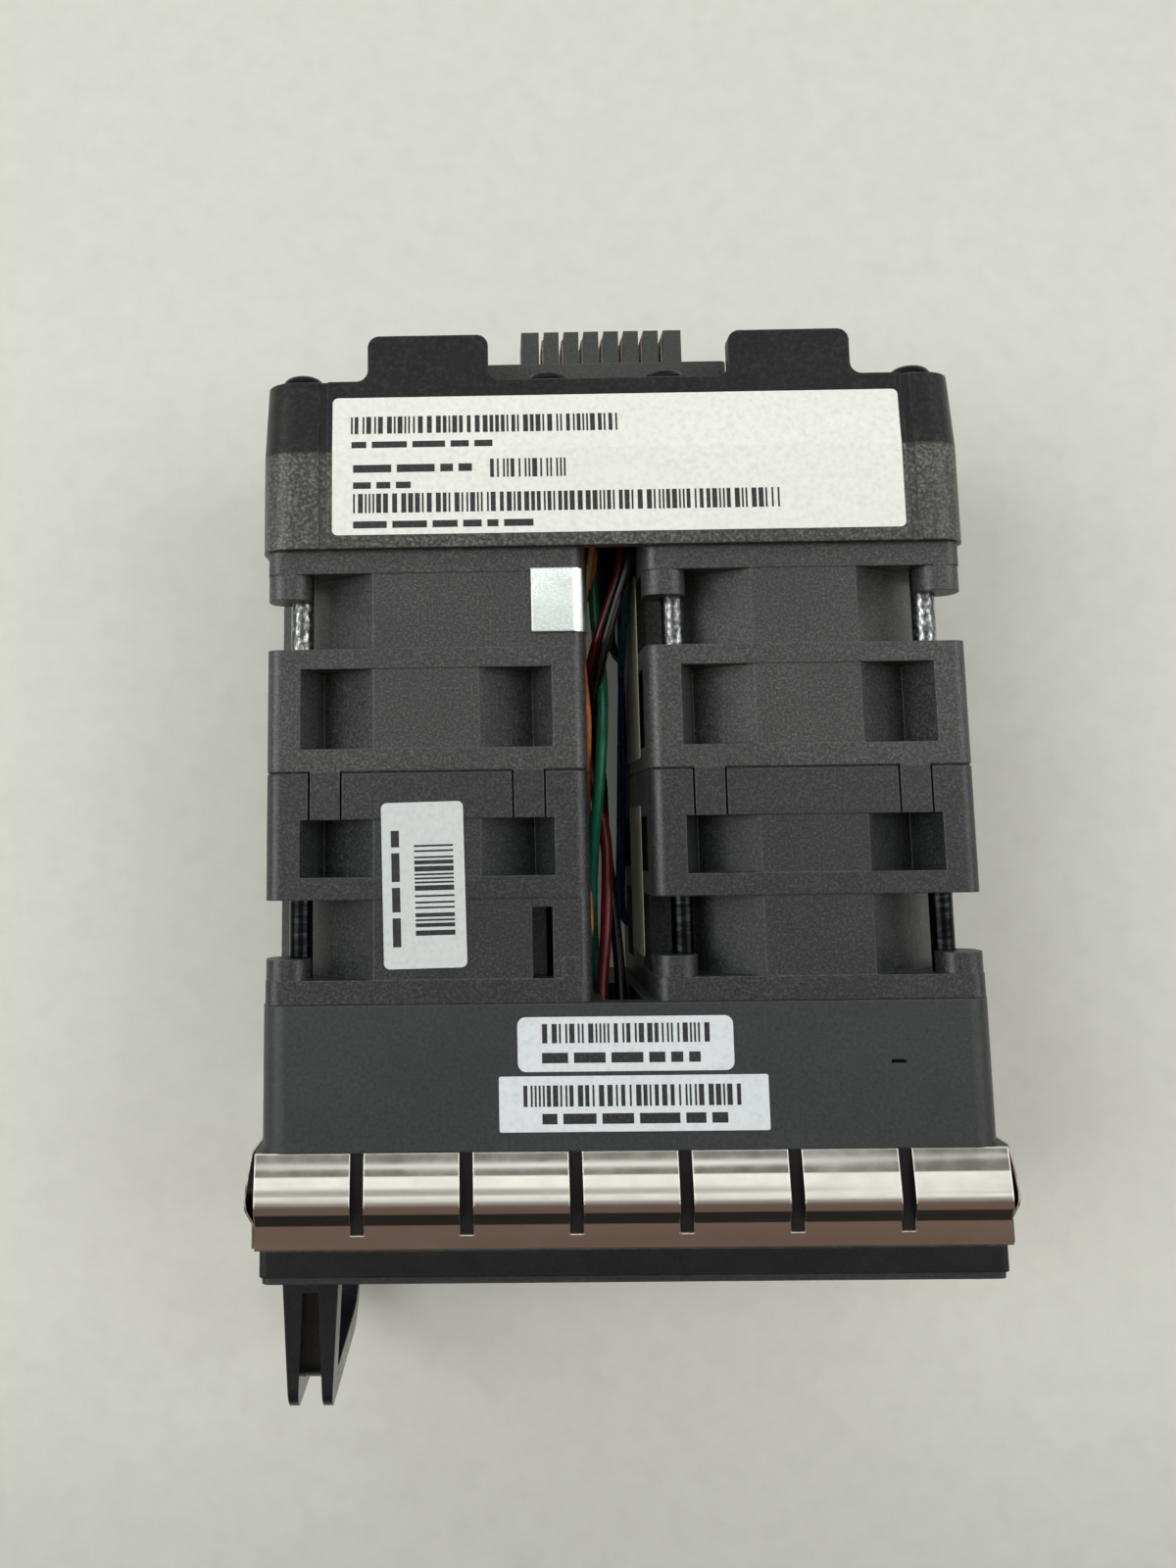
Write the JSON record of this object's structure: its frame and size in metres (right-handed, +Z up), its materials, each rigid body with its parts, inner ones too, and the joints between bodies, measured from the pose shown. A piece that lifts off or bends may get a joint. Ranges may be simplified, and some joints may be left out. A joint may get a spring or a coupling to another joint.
{
  "type": "fan module",
  "caption": "Hot-swap server fan module with counter-rotating fans in two columns, spring-finger gaskets, a rear blind-mate connector and a finger-loop handle",
  "frame": {"origin": "on the surface it lies on, under the middle of its length and width", "axes": "+X to the right seen from the handle end, +Y to the rear connector, +Z up"},
  "size_m": [0.092, 0.1362, 0.0426],
  "materials": {
    "fan_plastic": "matte",
    "housing_plastic": "matte",
    "bezel_plastic": "satin",
    "connector_plastic": "satin",
    "contact_copper": "satin",
    "gasket_steel": "polished",
    "zinc_steel": "satin",
    "screw_steel": "satin",
    "plate_black": "satin",
    "handle_plastic": "gloss",
    "impeller_plastic": "satin",
    "shaft_steel": "polished",
    "bearing_steel": "polished",
    "yoke_steel": "satin",
    "magnet_ferrite": "matte",
    "core_steel": "satin",
    "coil_copper": "gloss",
    "board_green": "satin",
    "lamp_lens": "gloss",
    "lead_red": "satin",
    "lead_green": "satin",
    "lead_black": "satin",
    "lead_orange": "satin",
    "lead_yellow": "satin",
    "lead_blue": "satin",
    "lead_teal": "satin"
  },
  "bodies": {
    "housing": {"rear_housing": "housing_plastic", "connector_body": "connector_plastic", "connector_contacts": "contact_copper", "fan_screws": "screw_steel", "lead_clip": "zinc_steel", "front_bezel": "bezel_plastic", "front_plate": "plate_black", "status_lamp": "lamp_lens", "pull_handle": "handle_plastic", "handle_screws": "screw_steel", "gasket_top": "gasket_steel", "gasket_right": "gasket_steel", "gasket_bottom": "gasket_steel", "gasket_left": "gasket_steel", "lamp_lead_red": "lead_red", "lamp_lead_green": "lead_green", "lamp_lead_black": "lead_black", "fan_leads_orange": "lead_orange", "fan_leads_yellow": "lead_yellow", "fan_leads_blue": "lead_blue", "fan_leads_teal": "lead_teal", "left_rear_frame": "fan_plastic", "left_rear_bearings": "bearing_steel", "left_rear_stator_core": "core_steel", "left_rear_coils": "coil_copper", "left_rear_circuit_board": "board_green", "left_front_frame": "fan_plastic", "left_front_bearings": "bearing_steel", "left_front_stator_core": "core_steel", "left_front_coils": "coil_copper", "left_front_circuit_board": "board_green", "right_rear_frame": "fan_plastic", "right_rear_bearings": "bearing_steel", "right_rear_stator_core": "core_steel", "right_rear_coils": "coil_copper", "right_rear_circuit_board": "board_green", "right_front_frame": "fan_plastic", "right_front_bearings": "bearing_steel", "right_front_stator_core": "core_steel", "right_front_coils": "coil_copper", "right_front_circuit_board": "board_green"},
    "left_rear_rotor": {"left_rear_impeller": "impeller_plastic", "left_rear_shaft": "shaft_steel", "left_rear_rotor_yoke": "yoke_steel", "left_rear_ring_magnet": "magnet_ferrite"},
    "left_front_rotor": {"left_front_impeller": "impeller_plastic", "left_front_shaft": "shaft_steel", "left_front_rotor_yoke": "yoke_steel", "left_front_ring_magnet": "magnet_ferrite"},
    "right_rear_rotor": {"right_rear_impeller": "impeller_plastic", "right_rear_shaft": "shaft_steel", "right_rear_rotor_yoke": "yoke_steel", "right_rear_ring_magnet": "magnet_ferrite"},
    "right_front_rotor": {"right_front_impeller": "impeller_plastic", "right_front_shaft": "shaft_steel", "right_front_rotor_yoke": "yoke_steel", "right_front_ring_magnet": "magnet_ferrite"}
  },
  "joints": [
    {"name": "left_rear_spin", "type": "hinge", "parent": "housing", "child": "left_rear_rotor", "pos_m": [-0.02375, 0.0223, 0.0213], "axis": [0, 1, 0], "continuous": true},
    {"name": "left_front_spin", "type": "hinge", "parent": "housing", "child": "left_front_rotor", "pos_m": [-0.02375, -0.0057, 0.0213], "axis": [0, -1, 0], "continuous": true},
    {"name": "right_rear_spin", "type": "hinge", "parent": "housing", "child": "right_rear_rotor", "pos_m": [0.02375, 0.0223, 0.0213], "axis": [0, 1, 0], "continuous": true},
    {"name": "right_front_spin", "type": "hinge", "parent": "housing", "child": "right_front_rotor", "pos_m": [0.02375, -0.0057, 0.0213], "axis": [0, -1, 0], "continuous": true}
  ]
}
